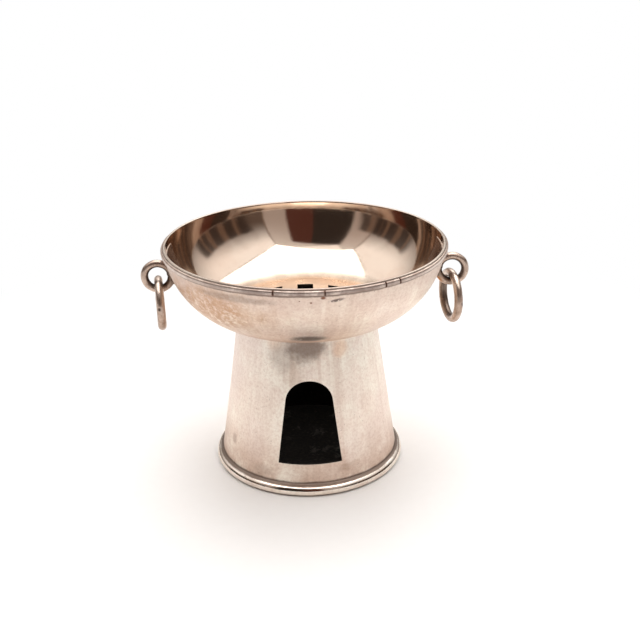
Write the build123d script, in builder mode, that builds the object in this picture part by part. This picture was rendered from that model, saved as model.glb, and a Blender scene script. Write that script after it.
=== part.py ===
"""A standing table censer: a footed metal bowl with a slotted floor and two ring handles.

The bowl holds the charcoal, the slots let air up and ash down, and the hollow
pedestal under it has a draught door at the front and a plate that catches ash.
Millimetres. +Z is up, the front is -Y, and the origin is the centre of the foot.
"""

from math import cos, radians, sin, sqrt
import os

from build123d import *

# Bowl: one spun sheet with a flat floor and a curved, flaring wall
LIP_DIAMETER = 98.4
FLOOR_DIAMETER = 60.0
BOWL_DEPTH = 26.3
WALL_BULGE = 4.71
FLOOR_CORNER_RADIUS = 3.5
BOWL_SHEET = 0.9

# Pedestal: an open cone of sheet that stands in from the edge of the bowl's floor
PEDESTAL_HEIGHT = 57.2
PEDESTAL_FOOT_DIAMETER = 65.9
PEDESTAL_INSET = 5.3
PEDESTAL_SHEET = 0.9

# Grate: parallel slots pierced in the bowl's floor, with their ends on a circle
SLOT_COUNT = 3
SLOT_WIDTH = 5.9
SLOT_PITCH = 11.6
GRATE_MARGIN = 1.0

# Rim band: a rounded strip soldered round the outside, just below the lip
LIP_ABOVE_BAND = 0.5
BAND_HEIGHT = 1.9
BAND_PROUD = 0.8
BAND_ROUNDING = 0.7

# Draught door: an arched opening in the front of the pedestal
DOOR_SILL_HEIGHT = 11.2
DOOR_JAMB_HEIGHT = 23.3
DOOR_ARCH_RISE = 6.9
DOOR_SILL_WIDTH = 22.3
DOOR_ARCH_WIDTH = 16.3

# Foot: a half-round wire soldered round the bottom of the pedestal
FOOT_WIRE_RADIUS = 2.0
FOOT_WIRE_CENTRE_HEIGHT = 1.7

# Ash plate: a disc set inside the pedestal, just clear of the table
PLATE_HEIGHT = 1.0
PLATE_SHEET = 0.8

# Straps: a tongue of sheet on each side of the bowl that backs the eye
STRAP_THICKNESS = 1.1
STRAP_TOP_WIDTH = 14.0
STRAP_TIP_WIDTH = 10.0
STRAP_BELOW_EYE = 11.0
STRAP_BELOW_BAND = 0.3

# Eyes: a small wire loop soldered to each strap, upright and square to the bowl's wall
EYE_OUTER_DIAMETER = 12.2
EYE_WIRE = 2.7
EYE_BELOW_LIP = 12.3
EYE_BITE = 1.46

# Ring handles: a wire ring hanging in each eye, turned a little as it happens to hang
RING_OUTER_DIAMETER = 19.7
RING_WIRE = 3.0
LINK_GAP = 0.15
LEFT_RING_TURN = 9.0
RIGHT_RING_TURN = 10.5

# Worked out from the sizes above
HEIGHT = PEDESTAL_HEIGHT + BOWL_DEPTH
LIP_RADIUS = LIP_DIAMETER / 2
FLOOR_RADIUS = FLOOR_DIAMETER / 2
PEDESTAL_FOOT_RADIUS = PEDESTAL_FOOT_DIAMETER / 2
PEDESTAL_TOP_RADIUS = FLOOR_RADIUS - PEDESTAL_INSET
PEDESTAL_TAPER = (PEDESTAL_FOOT_RADIUS - PEDESTAL_TOP_RADIUS) / PEDESTAL_HEIGHT
PEDESTAL_WALL_ACROSS = PEDESTAL_SHEET * sqrt(1 + PEDESTAL_TAPER**2)
GRATE_RADIUS = PEDESTAL_TOP_RADIUS - PEDESTAL_WALL_ACROSS - GRATE_MARGIN
BAND_BOTTOM_HEIGHT = HEIGHT - LIP_ABOVE_BAND - BAND_HEIGHT
EYE_HEIGHT = HEIGHT - EYE_BELOW_LIP
EYE_LOOP_RADIUS = (EYE_OUTER_DIAMETER - EYE_WIRE) / 2
EYE_HOLE_RADIUS = EYE_LOOP_RADIUS - EYE_WIRE / 2
STRAP_TOP_HEIGHT = BAND_BOTTOM_HEIGHT - STRAP_BELOW_BAND
STRAP_TIP_HEIGHT = EYE_HEIGHT - STRAP_BELOW_EYE
RING_LOOP_RADIUS = (RING_OUTER_DIAMETER - RING_WIRE) / 2
LINK_HEIGHT = EYE_HEIGHT - EYE_HOLE_RADIUS + LINK_GAP + RING_WIRE / 2
RING_HEIGHT = LINK_HEIGHT - RING_LOOP_RADIUS
WALL_CHORD = sqrt(BOWL_DEPTH**2 + (LIP_RADIUS - FLOOR_RADIUS) ** 2)
WALL_ARC_RADIUS = (WALL_CHORD**2 / 4 + WALL_BULGE**2) / (2 * WALL_BULGE)


def wall_arc_centre():
    """Radius and height of the centre of the arc that the bowl's outer wall follows."""
    flare = LIP_RADIUS - FLOOR_RADIUS
    lean = (WALL_ARC_RADIUS - WALL_BULGE) / WALL_CHORD
    radius = (LIP_RADIUS + FLOOR_RADIUS) / 2 - lean * BOWL_DEPTH
    height = (HEIGHT + PEDESTAL_HEIGHT) / 2 + lean * flare
    return radius, height


def wall_radius(height, outside=0.0):
    """Radius of the bowl's outer wall at a height, or of a surface that far outside it."""
    centre_radius, centre_height = wall_arc_centre()
    return centre_radius + sqrt((WALL_ARC_RADIUS + outside) ** 2 - (centre_height - height) ** 2)


def pedestal_radius(height):
    """Outer radius of the pedestal at a height."""
    return PEDESTAL_FOOT_RADIUS - PEDESTAL_TAPER * height


EYE_REACH = wall_radius(EYE_HEIGHT, STRAP_THICKNESS + EYE_OUTER_DIAMETER / 2 - EYE_BITE)


def filled_bowl(outside=0.0):
    """The space inside the bowl's outer surface, or inside a surface that far outside it."""
    with BuildPart() as form:
        with BuildSketch(Plane.XZ):
            with BuildLine():
                floor = Line((0, PEDESTAL_HEIGHT), (wall_radius(PEDESTAL_HEIGHT, outside), PEDESTAL_HEIGHT))
                lip = (wall_radius(HEIGHT, outside), HEIGHT)
                RadiusArc(floor @ 1, lip, -(WALL_ARC_RADIUS + outside))
                top = Line(lip, (0, HEIGHT))
                Line(top @ 1, floor @ 0)
            make_face()
        revolve(axis=Axis.Z)
        corner = form.edges().filter_by(GeomType.CIRCLE).sort_by(Axis.Z)[0]
        fillet(corner, radius=FLOOR_CORNER_RADIUS + outside)
    return form.part


os.makedirs("parts", exist_ok=True)
bowl_space = filled_bowl()
bowl_space_with_strap = filled_bowl(STRAP_THICKNESS)


# ---- bowl ----
with BuildPart() as bowl:
    add(bowl_space)
    offset(amount=-BOWL_SHEET, openings=bowl.faces().sort_by(Axis.Z)[-1])
    with BuildSketch(Plane.XY.offset(PEDESTAL_HEIGHT)):
        with GridLocations(SLOT_PITCH, 0, SLOT_COUNT, 1):
            Rectangle(SLOT_WIDTH, 2 * GRATE_RADIUS)
        Circle(GRATE_RADIUS, mode=Mode.INTERSECT)
    extrude(amount=BOWL_SHEET, mode=Mode.SUBTRACT)
bowl.part.label = "bowl"
export_step(bowl.part, "parts/bowl.step")


# ---- rim band ----
with BuildPart() as rim_band:
    with BuildSketch(Plane.XZ) as band_section:
        band_width = LIP_RADIUS + BAND_PROUD - FLOOR_RADIUS
        with Locations((FLOOR_RADIUS, BAND_BOTTOM_HEIGHT)):
            Rectangle(band_width, BAND_HEIGHT, align=(Align.MIN, Align.MIN))
        fillet(band_section.vertices().group_by(Axis.X)[-1], radius=BAND_ROUNDING)
    revolve(axis=Axis.Z)
    add(bowl_space, mode=Mode.SUBTRACT)
rim_band.part.label = "rim_band"
export_step(rim_band.part, "parts/rim_band.step")


# ---- pedestal ----
with BuildPart() as pedestal:
    with BuildSketch(Plane.XZ):
        with BuildLine():
            Polyline(
                (PEDESTAL_FOOT_RADIUS, 0),
                (PEDESTAL_TOP_RADIUS, PEDESTAL_HEIGHT),
                (PEDESTAL_TOP_RADIUS - PEDESTAL_WALL_ACROSS, PEDESTAL_HEIGHT),
                (PEDESTAL_FOOT_RADIUS - PEDESTAL_WALL_ACROSS, 0),
                close=True,
            )
        make_face()
    revolve(axis=Axis.Z)
    with BuildSketch(Plane.XZ):
        with BuildLine():
            arch_foot = DOOR_SILL_HEIGHT + DOOR_JAMB_HEIGHT
            sill = Line((-DOOR_SILL_WIDTH / 2, DOOR_SILL_HEIGHT), (DOOR_SILL_WIDTH / 2, DOOR_SILL_HEIGHT))
            jamb = Line(sill @ 1, (DOOR_ARCH_WIDTH / 2, arch_foot))
            crown = (0, arch_foot + DOOR_ARCH_RISE)
            arch = ThreePointArc(jamb @ 1, crown, (-DOOR_ARCH_WIDTH / 2, arch_foot))
            Line(arch @ 1, sill @ 0)
        make_face()
    extrude(amount=PEDESTAL_FOOT_RADIUS, mode=Mode.SUBTRACT)
pedestal.part.label = "pedestal"
export_step(pedestal.part, "parts/pedestal.step")


# ---- foot ring ----
with BuildPart() as foot_ring:
    with BuildSketch(Plane.XZ):
        with Locations((pedestal_radius(FOOT_WIRE_CENTRE_HEIGHT), FOOT_WIRE_CENTRE_HEIGHT)):
            Circle(FOOT_WIRE_RADIUS)
    revolve(axis=Axis.Z)
    split(bisect_by=Plane.XY, keep=Keep.TOP)
    Cone(
        bottom_radius=PEDESTAL_FOOT_RADIUS,
        top_radius=PEDESTAL_TOP_RADIUS,
        height=PEDESTAL_HEIGHT,
        align=(Align.CENTER, Align.CENTER, Align.MIN),
        mode=Mode.SUBTRACT,
    )
foot_ring.part.label = "foot_ring"
export_step(foot_ring.part, "parts/foot_ring.step")


# ---- base plate ----
with BuildPart() as base_plate:
    with Locations((0, 0, PLATE_HEIGHT)):
        Cone(
            bottom_radius=pedestal_radius(PLATE_HEIGHT) - PEDESTAL_WALL_ACROSS,
            top_radius=pedestal_radius(PLATE_HEIGHT + PLATE_SHEET) - PEDESTAL_WALL_ACROSS,
            height=PLATE_SHEET,
            align=(Align.CENTER, Align.CENTER, Align.MIN),
        )
base_plate.part.label = "base_plate"
export_step(base_plate.part, "parts/base_plate.step")


# ---- a strap, an eye and a ring handle on each side ----
for side, outward, ring_turn in (("left", -1, LEFT_RING_TURN), ("right", 1, RIGHT_RING_TURN)):
    with BuildPart() as strap:
        add(bowl_space_with_strap)
        add(bowl_space, mode=Mode.SUBTRACT)
        with BuildSketch(Plane.YZ):
            with Locations((0, STRAP_TIP_HEIGHT + STRAP_TIP_WIDTH / 2)):
                Circle(STRAP_TIP_WIDTH / 2)
            with Locations((0, STRAP_TOP_HEIGHT)):
                Rectangle(STRAP_TOP_WIDTH, STRAP_TOP_WIDTH / 2, align=(Align.CENTER, Align.MAX))
            make_hull()
        extrude(amount=outward * LIP_DIAMETER, mode=Mode.INTERSECT)
    strap.part.label = side + "_strap"
    export_step(strap.part, f"parts/{side}_strap.step")

    with BuildPart() as eye:
        with Locations(Plane((outward * EYE_REACH, 0, EYE_HEIGHT), z_dir=(0, 1, 0))):
            Torus(EYE_LOOP_RADIUS, EYE_WIRE / 2)
        add(bowl_space_with_strap, mode=Mode.SUBTRACT)
    eye.part.label = side + "_eye"
    export_step(eye.part, f"parts/{side}_eye.step")

    through_ring = (cos(radians(ring_turn)), sin(radians(ring_turn)), 0)
    with BuildPart() as ring:
        with Locations(Plane((outward * EYE_REACH, 0, RING_HEIGHT), z_dir=through_ring)):
            Torus(RING_LOOP_RADIUS, RING_WIRE / 2)
    ring.part.label = side + "_ring"
    export_step(ring.part, f"parts/{side}_ring.step")
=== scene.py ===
"""A small footed censer of worn silver plate, standing on a pale studio floor.

Each piece below is turned, bent or cut as the maker would do it, and stands for one CAD node.
"""

from math import atan2, ceil, cos, hypot, pi, radians, sin, sqrt, tau

import bmesh
import bpy
from mathutils import Matrix, Vector, noise


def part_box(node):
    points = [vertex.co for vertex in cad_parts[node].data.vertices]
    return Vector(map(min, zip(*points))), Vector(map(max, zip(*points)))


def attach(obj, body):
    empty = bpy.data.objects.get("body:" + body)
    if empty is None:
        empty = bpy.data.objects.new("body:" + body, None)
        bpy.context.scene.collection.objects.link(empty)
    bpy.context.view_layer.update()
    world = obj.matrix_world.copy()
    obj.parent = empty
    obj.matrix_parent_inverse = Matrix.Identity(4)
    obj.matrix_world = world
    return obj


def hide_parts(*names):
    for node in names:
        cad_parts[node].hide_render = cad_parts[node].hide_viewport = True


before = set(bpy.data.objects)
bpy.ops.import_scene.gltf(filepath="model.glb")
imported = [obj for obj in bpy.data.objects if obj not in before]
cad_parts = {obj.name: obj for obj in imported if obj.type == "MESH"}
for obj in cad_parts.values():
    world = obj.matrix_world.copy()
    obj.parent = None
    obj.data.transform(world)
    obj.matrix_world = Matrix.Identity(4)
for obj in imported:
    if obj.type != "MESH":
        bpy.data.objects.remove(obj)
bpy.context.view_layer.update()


# ---- studio ----
# A pale floor inside a white light tent. The tent is open towards the camera, where the dark
# room shows. Its seams and low sides are darker, with folds. Only reflections see its inside.

LENS = 56.25
SENSOR = 36.0
CAMERA_PLACE = (-0.00344, -0.3334, 0.1926)
CAMERA_TURN = radians(-1.43)
CAMERA_TILT = radians(90 - 22.76)
CAMERA_ROLL = radians(-1.03)
FLOOR_SIZE = 4.0
SWEEP_START = 0.048
SWEEP_END = 0.24
TENT_TURN = radians(15.5)
OPENING_HALF_WIDTH = radians(30)
OPENING_TOP = 1.45
TENT_HALF_WIDTH = 1.28
TENT_TOP = 2.0
SEAM_WIDTH = 0.022
ROOF_LIGHT = 2.6
SHADE_LOW = 0.25
SHADE_HIGH = 1.15
SIDE_LIFT = 0.35
LOW_SIDE_TOP = 0.48
TOP_POWER = 1.6


class Value:
    """A shader socket that can stand in arithmetic: every sign adds its Math node."""

    def __init__(self, nodes, socket):
        self.nodes, self.socket = nodes, socket

    def math(self, operation, *others):
        inputs = dict(enumerate((self, *others)))
        return self.nodes.add("ShaderNodeMath", {"operation": operation}, inputs)

    def __add__(self, other):
        return self.math("ADD", other)

    def __sub__(self, other):
        return self.math("SUBTRACT", other)

    def __mul__(self, other):
        return self.math("MULTIPLY", other)

    def __truediv__(self, other):
        return self.math("DIVIDE", other)

    def __pow__(self, other):
        return self.math("POWER", other)

    def __rsub__(self, other):
        return self.nodes.add("ShaderNodeMath", {"operation": "SUBTRACT"}, {0: other, 1: self})

    def __rtruediv__(self, other):
        return self.nodes.add("ShaderNodeMath", {"operation": "DIVIDE"}, {0: other, 1: self})

    def __abs__(self):
        return self.math("ABSOLUTE")

    __radd__ = __add__
    __rmul__ = __mul__


class Nodes:
    """The node tree of one material, or of the world, with one way to add any node."""

    def __init__(self, tree):
        self.tree = tree

    def add(self, kind, settings=(), inputs=(), output=0):
        node = self.tree.nodes.new(kind)
        for name, setting in dict(settings).items():
            setattr(node, name, setting)
        for name, value in dict(inputs).items():
            self.feed(node.inputs[name], value)
        return Value(self, node.outputs[output])

    def feed(self, socket, value):
        if isinstance(value, Value):
            self.tree.links.new(value.socket, socket)
        elif hasattr(socket.default_value, "__len__") and len(socket.default_value) == 4:
            socket.default_value = (*value, 1.0)
        else:
            socket.default_value = value

    def split(self, vector):
        made = self.add("ShaderNodeSeparateXYZ", (), {0: vector})
        return [Value(self, output) for output in made.socket.node.outputs]

    def join(self, x, y, z):
        return self.add("ShaderNodeCombineXYZ", (), {0: x, 1: y, 2: z})

    def rise(self, value, low, high):
        """0 below low, 1 above high and a smooth rise between; high below low turns it over."""
        settings = {"interpolation_type": "SMOOTHSTEP"}
        return self.add("ShaderNodeMapRange", settings, {0: value, 1: low, 2: high})

    def mix(self, factor, first, second, blend="MIX"):
        """Two colours mixed."""
        settings = {"data_type": "RGBA", "blend_type": blend}
        return self.add("ShaderNodeMix", settings, {0: factor, 6: first, 7: second}, output=2)

    def grain(self, vector, scale, detail=3.0, roughness=0.55):
        """Noise about 0.5, in places scale to the metre."""
        inputs = {"Vector": vector, "Scale": scale, "Detail": detail, "Roughness": roughness}
        return self.add("ShaderNodeTexNoise", (), inputs)


camera = bpy.data.objects.new("camera", bpy.data.cameras.new("camera"))
camera.data.lens = LENS
camera.data.sensor_width = SENSOR
camera.data.clip_start = 0.01
camera.location = CAMERA_PLACE
turn = Matrix.Rotation(CAMERA_TURN, 4, "Z")
tilt = Matrix.Rotation(CAMERA_TILT, 4, "X")
roll = Matrix.Rotation(CAMERA_ROLL, 4, "Z")
camera.rotation_euler = (turn @ tilt @ roll).to_euler()
bpy.context.collection.objects.link(camera)
bpy.context.scene.camera = camera
bpy.context.scene.view_settings.view_transform = "Standard"

world = bpy.data.worlds.new("light tent")
world.use_nodes = True
bpy.context.scene.world = world
sky = Nodes(world.node_tree)
toward = sky.add("ShaderNodeTexCoord", output="Generated")
turned = sky.add(
    "ShaderNodeVectorRotate", {"rotation_type": "Z_AXIS"}, {"Vector": toward, "Angle": TENT_TURN}
)
across, along, up = sky.split(turned)
ahead = along * -1.0
azimuth = across.math("ARCTAN2", ahead)
flat = (across * across + along * along) ** 0.5
slope = up / flat.math("MAXIMUM", 0.001)
front_rise = up / ahead.math("MAXIMUM", 0.001)
in_front = sky.rise(ahead, 0.0, 0.02)
opening = (
    sky.rise(abs(azimuth), OPENING_HALF_WIDTH + 0.05, OPENING_HALF_WIDTH - 0.02)
    * sky.rise(front_rise, OPENING_TOP + 0.12, OPENING_TOP - 0.1)
    * sky.rise(slope, -0.02, 0.02)
    * in_front
)
side = across / ahead.math("MAXIMUM", 0.001)
side_rise = up / abs(across).math("MAXIMUM", 0.001)
corner = sky.rise(abs(abs(side) - TENT_HALF_WIDTH), SEAM_WIDTH * 2.4, SEAM_WIDTH) * in_front
corner = corner * sky.rise(front_rise, TENT_TOP, TENT_TOP - 0.05) * sky.rise(slope, 0.0, 0.1)
head = sky.rise(abs(front_rise - TENT_TOP), SEAM_WIDTH * 3.0, SEAM_WIDTH)
head = head * sky.rise(abs(side), TENT_HALF_WIDTH, TENT_HALF_WIDTH - 0.03) * in_front
eave = sky.rise(abs(side_rise - TENT_TOP / TENT_HALF_WIDTH), SEAM_WIDTH * 2.4, SEAM_WIDTH)
eave = eave * sky.rise(abs(side), TENT_HALF_WIDTH - 0.03, TENT_HALF_WIDTH)
seams = corner.math("MAXIMUM", head).math("MAXIMUM", eave)
folds = sky.grain(sky.join(azimuth * 1.6, slope * 0.25, 0.0), 3.2, detail=2)
sideways = abs(azimuth - TENT_TURN)
slant = sideways + sky.grain(sky.join(azimuth * 1.2, slope * 0.6, 4.0), 2.0, detail=2) * 0.3 - 0.15
front_wall = sky.rise(abs(side), TENT_HALF_WIDTH + 0.02, TENT_HALF_WIDTH - 0.02) * in_front
front_wall = front_wall * sky.rise(front_rise, TENT_TOP + 0.03, TENT_TOP - 0.03)
roof = sky.rise(side_rise, TENT_TOP / TENT_HALF_WIDTH - 0.04, TENT_TOP / TENT_HALF_WIDTH + 0.04)
roof = roof * sky.rise(front_rise * in_front + (1 - in_front) * 9.0, TENT_TOP - 0.04, TENT_TOP + 0.04)
roof = roof * sky.rise(slope, 0.4, 1.0)
lift = slope + sky.rise(sideways, radians(60), radians(125)) * SIDE_LIFT
shade = sky.rise(lift + (folds - 0.5) * 0.12, SHADE_LOW, SHADE_HIGH)
cloth = sky.mix(shade, (0.10, 0.07, 0.055), (1.0, 0.965, 0.94))
front_cloth = sky.mix(sky.rise(front_rise, 0.15, TENT_TOP), (0.34, 0.28, 0.25), (0.62, 0.57, 0.54))
tent = sky.mix(front_wall, cloth, front_cloth)
low_side = sky.rise(slope + (folds - 0.5) * 0.1, LOW_SIDE_TOP + 0.05, LOW_SIDE_TOP - 0.05)
low_side = low_side * sky.rise(slant, radians(48), radians(56))
low_side = low_side * sky.rise(slant, radians(116), radians(106)) * sky.rise(slope, 0.0, 0.01)
curtain = sky.rise(sky.grain(sky.join(azimuth * 1.9, 0.0, 2.0), 4.0, detail=1), 0.50, 0.58)
drapes = sky.mix(curtain * 0.8, (0.035, 0.023, 0.018), (0.155, 0.095, 0.065))
tent = sky.mix(low_side * 0.9, tent, drapes)
tent = sky.mix(roof, tent, (ROOF_LIGHT, ROOF_LIGHT, ROOF_LIGHT))
tent = sky.mix(seams * 0.8, tent, (0.16, 0.11, 0.085))
room = sky.mix(sky.rise(azimuth, radians(5), radians(7)), (0.03, 0.022, 0.018), (0.075, 0.028, 0.02))
tent = sky.mix(opening, tent, room)
seen = sky.add("ShaderNodeLightPath", output="Is Camera Ray")
seen_colour = sky.mix(seen, tent, (1.0, 1.0, 1.0))
background = world.node_tree.nodes["Background"]
sky.feed(background.inputs["Color"], seen_colour)
background.inputs["Strength"].default_value = 1.0


def softbox(name, place, target, size, power):
    """A square soft light that the camera doesn't see."""
    light = bpy.data.lights.new(name, "AREA")
    light.size = size
    light.energy = power
    lamp = bpy.data.objects.new(name, light)
    lamp.location = place
    lamp.rotation_euler = (Vector(target) - Vector(place)).to_track_quat("-Z", "Y").to_euler()
    lamp.visible_camera = False
    bpy.context.collection.objects.link(lamp)


softbox("softbox_top", (0, 0, 1.1), (0, 0, 0), 1.1, TOP_POWER)


def object_from(bm, name, smooth_below=35.0):
    """Closes a bmesh into an object at the origin, smooth except at folds sharper than an angle."""
    bmesh.ops.recalc_face_normals(bm, faces=bm.faces)
    mesh = bpy.data.meshes.new(name)
    bm.to_mesh(mesh)
    bm.free()
    mesh.shade_smooth()
    mesh.set_sharp_from_angle(angle=radians(smooth_below))
    made = bpy.data.objects.new(name, mesh)
    bpy.context.collection.objects.link(made)
    return made


floor_mesh = bmesh.new()
bmesh.ops.create_grid(floor_mesh, x_segments=40, y_segments=40, size=FLOOR_SIZE)
floor = object_from(floor_mesh, "studio_floor")


def new_finish(name):
    """A new material with its nodes, its shader and the Object coordinates."""
    finish = bpy.data.materials.new(name)
    finish.use_nodes = True
    nodes = Nodes(finish.node_tree)
    shader = finish.node_tree.nodes["Principled BSDF"]
    place = nodes.add("ShaderNodeTexCoord", output="Object")
    return finish, nodes, shader, place


floor_paper, paper, paper_shader, paper_place = new_finish("floor paper")
fibre = paper.grain(paper_place, 300, detail=4)
paper.feed(paper_shader.inputs["Base Color"], paper.mix(fibre, (0.94, 0.92, 0.90), (0.965, 0.95, 0.93)))
paper_shader.inputs["Roughness"].default_value = 0.55
paper_shader.inputs["Specular IOR Level"].default_value = 0.25
sweep = paper.add("ShaderNodeEmission", (), {"Color": (1.0, 1.0, 1.0)})
paper_across, paper_along, _ = paper.split(paper_place)
paper_reach = (paper_across * paper_across + paper_along * paper_along) ** 0.5
swept = paper.add("ShaderNodeMixShader", (), {0: paper.rise(paper_reach, SWEEP_START, SWEEP_END)})
floor_paper.node_tree.links.new(paper_shader.outputs[0], swept.socket.node.inputs[1])
floor_paper.node_tree.links.new(sweep.socket, swept.socket.node.inputs[2])
paper_out = floor_paper.node_tree.nodes["Material Output"]
floor_paper.node_tree.links.new(swept.socket, paper_out.inputs["Surface"])
floor.data.materials.append(floor_paper)


# ---- bowl ----
# One disc of silver-plated copper alloy, spun to a curved wall on a flat floor and pierced with
# three slots. The outside is satin and stained, the inside still has its mirror polish.

bowl_low, bowl_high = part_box("bowl")
LIP_RADIUS = bowl_high.x
FLOOR_HEIGHT = bowl_low.z
LIP_HEIGHT = bowl_high.z
FLOOR_RADIUS = 0.030
WALL_ARC_RADIUS = 0.0305
FLOOR_CORNER = 0.0016
SHEET = 0.0009
WALL_STEPS = 44
ROUND_STEPS = 240
SLOT_WIDTH = 0.0059
SLOT_PITCH = 0.0116
GRATE_RADIUS = 0.0228
GRATE_BORDER = 0.0242
LIP_ROUNDING = 0.00036
SLOT_ROUNDING = 0.00012
WOBBLE = 0.00022
STRAP_TIP_HALF = 0.005
STRAP_TIP_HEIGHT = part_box("right_strap")[0].z + STRAP_TIP_HALF
STRAP_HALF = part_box("right_strap")[1].y
STRAP_SHOULDER_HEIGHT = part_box("right_strap")[1].z - STRAP_HALF
BAND_LOW_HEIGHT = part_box("rim_band")[0].z
FOOT_TOP_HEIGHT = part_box("foot_ring")[1].z


def arc_centre():
    """Radius and height of the centre of the wall's arc."""
    rise = LIP_HEIGHT - FLOOR_HEIGHT
    flare = LIP_RADIUS - FLOOR_RADIUS
    half_chord = hypot(rise, flare) / 2
    lean = sqrt(WALL_ARC_RADIUS**2 - half_chord**2) / (2 * half_chord)
    radius = (LIP_RADIUS + FLOOR_RADIUS) / 2 - lean * rise
    height = (LIP_HEIGHT + FLOOR_HEIGHT) / 2 + lean * flare
    return radius, height


ARC_CENTRE_RADIUS, ARC_CENTRE_HEIGHT = arc_centre()


def wall_radius(height, outside=0.0):
    """Radius of the wall's outer face at a height, or of a surface that far outside it."""
    drop = ARC_CENTRE_HEIGHT - height
    return ARC_CENTRE_RADIUS + sqrt((WALL_ARC_RADIUS + outside) ** 2 - drop**2)


def spun(bm, points, steps=ROUND_STEPS, closed=False):
    """Turns an outline of (radius, height) points full circle about the upright axis."""
    line = [bm.verts.new((radius, 0, height)) for radius, height in points]
    ring = line + line[:1] if closed else line
    edges = [bm.edges.new(pair) for pair in zip(ring, ring[1:])]
    bmesh.ops.spin(
        bm, geom=line + edges, axis=(0, 0, 1), cent=(0, 0, 0), angle=tau, steps=steps, use_merge=True
    )
    bmesh.ops.remove_doubles(bm, verts=bm.verts, dist=1e-6)


def with_modifier(made, kind, **settings):
    """Applies one modifier to an object's mesh."""
    modifier = made.modifiers.new(kind, kind)
    for name, setting in settings.items():
        setattr(modifier, name, setting)
    shape = made.evaluated_get(bpy.context.evaluated_depsgraph_get())
    mesh = bpy.data.meshes.new_from_object(shape)
    made.modifiers.clear()
    made.data = mesh


def smooth_step(value, low, high):
    """0 below low, 1 above high and a smooth rise between."""
    part = min(1.0, max(0.0, (value - low) / (high - low)))
    return part * part * (3 - 2 * part)


def hand_made(made):
    """Bends the whole object very slightly, the same way everywhere, as hand work does."""
    for vertex in made.data.vertices:
        spot = vertex.co
        drift = noise.noise_vector(spot * 28 + Vector((3.1, 0.7, 5.2)))
        off_table = min(1.0, max(0.0, spot.z) / 0.02)
        off_floor = max(
            smooth_step(hypot(spot.x, spot.y), 0.026, 0.036),
            smooth_step(abs(spot.z - FLOOR_HEIGHT), 0.002, 0.010),
        )
        vertex.co += WOBBLE * Vector((drift.x, drift.y, drift.z * off_table * off_floor))
    with_modifier(made, "WEIGHTED_NORMAL", keep_sharp=True, mode="FACE_AREA_WITH_ANGLE")


def slot_outline(bm, centre):
    """The edge of one slot: a strip of the grate's circle, flat at the bowl's floor."""
    flat_disc = bmesh.new()
    bmesh.ops.create_circle(flat_disc, cap_ends=True, radius=GRATE_RADIUS, segments=ROUND_STEPS)
    for side in (-1, 1):
        geometry = flat_disc.verts[:] + flat_disc.edges[:] + flat_disc.faces[:]
        bmesh.ops.bisect_plane(
            flat_disc, geom=geometry, plane_co=(centre + side * SLOT_WIDTH / 2, 0, 0),
            plane_no=(side, 0, 0), clear_outer=True,
        )
    outline = [vertex.co.copy() for vertex in flat_disc.faces[:][0].verts]
    flat_disc.free()
    ring = [bm.verts.new((point.x, point.y, FLOOR_HEIGHT)) for point in outline]
    return [bm.edges.new(pair) for pair in zip(ring, ring[1:] + ring[:1])]


def bowl_shape():
    """The outer face of the sheet: wall, floor and slots."""
    bm = bmesh.new()

    def on_arc(turn):
        return (
            ARC_CENTRE_RADIUS + WALL_ARC_RADIUS * cos(turn),
            ARC_CENTRE_HEIGHT + WALL_ARC_RADIUS * sin(turn),
        )

    start = atan2(FLOOR_HEIGHT - ARC_CENTRE_HEIGHT, FLOOR_RADIUS - ARC_CENTRE_RADIUS)
    end = atan2(LIP_HEIGHT - ARC_CENTRE_HEIGHT, LIP_RADIUS - ARC_CENTRE_RADIUS)
    bend_end = start + FLOOR_CORNER / WALL_ARC_RADIUS
    outline = [(GRATE_BORDER, FLOOR_HEIGHT), (FLOOR_RADIUS - 1.5 * FLOOR_CORNER, FLOOR_HEIGHT)]
    for step in range(9):
        part = step / 8
        shares = ((1 - part) ** 2, 2 * part * (1 - part), part * part)
        knots = ((FLOOR_RADIUS - FLOOR_CORNER, FLOOR_HEIGHT), (FLOOR_RADIUS, FLOOR_HEIGHT), on_arc(bend_end))
        outline.append(tuple(sum(share * knot[i] for share, knot in zip(shares, knots)) for i in (0, 1)))
    for step in range(1, WALL_STEPS + 1):
        outline.append(on_arc(bend_end + (end - bend_end) * step / WALL_STEPS))
    spun(bm, outline)
    floor_edge = [
        edge for edge in bm.edges
        if edge.is_boundary and all(vertex.co.z < FLOOR_HEIGHT + 0.001 for vertex in edge.verts)
    ]
    for place in (-SLOT_PITCH, 0, SLOT_PITCH):
        floor_edge += slot_outline(bm, place)
    bmesh.ops.triangle_fill(bm, use_beauty=True, edges=floor_edge, normal=(0, 0, -1))
    return bm


def bevelled(made, chosen, offset, segments=3, sharper_than=0.9):
    """Rounds the edges of a finished shape that chosen picks."""
    bm = bmesh.new()
    bm.from_mesh(made.data)
    edges = [
        edge for edge in bm.edges
        if edge.is_manifold and edge.calc_face_angle() > sharper_than and chosen(edge)
    ]
    bmesh.ops.bevel(
        bm, geom=edges, offset=offset, offset_type="OFFSET", affect="EDGES", segments=segments, profile=0.5,
        material=-1, clamp_overlap=True,
    )
    bm.to_mesh(made.data)
    bm.free()
    made.data.shade_smooth()
    made.data.set_sharp_from_angle(angle=radians(35))


def stain(nodes, spot, azimuth, height, half_turn, half_height, ragged=0.8):
    """A ragged patch on a round wall, by degrees from the front and by height, both in spot."""
    turned, up, rag = spot
    across = (turned - azimuth) / half_turn
    along = (up - height) / half_height
    reach = (across * across + along * along) ** 0.5 + (rag - 0.5) * ragged
    return nodes.rise(reach, 1.25, 0.45)


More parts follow.
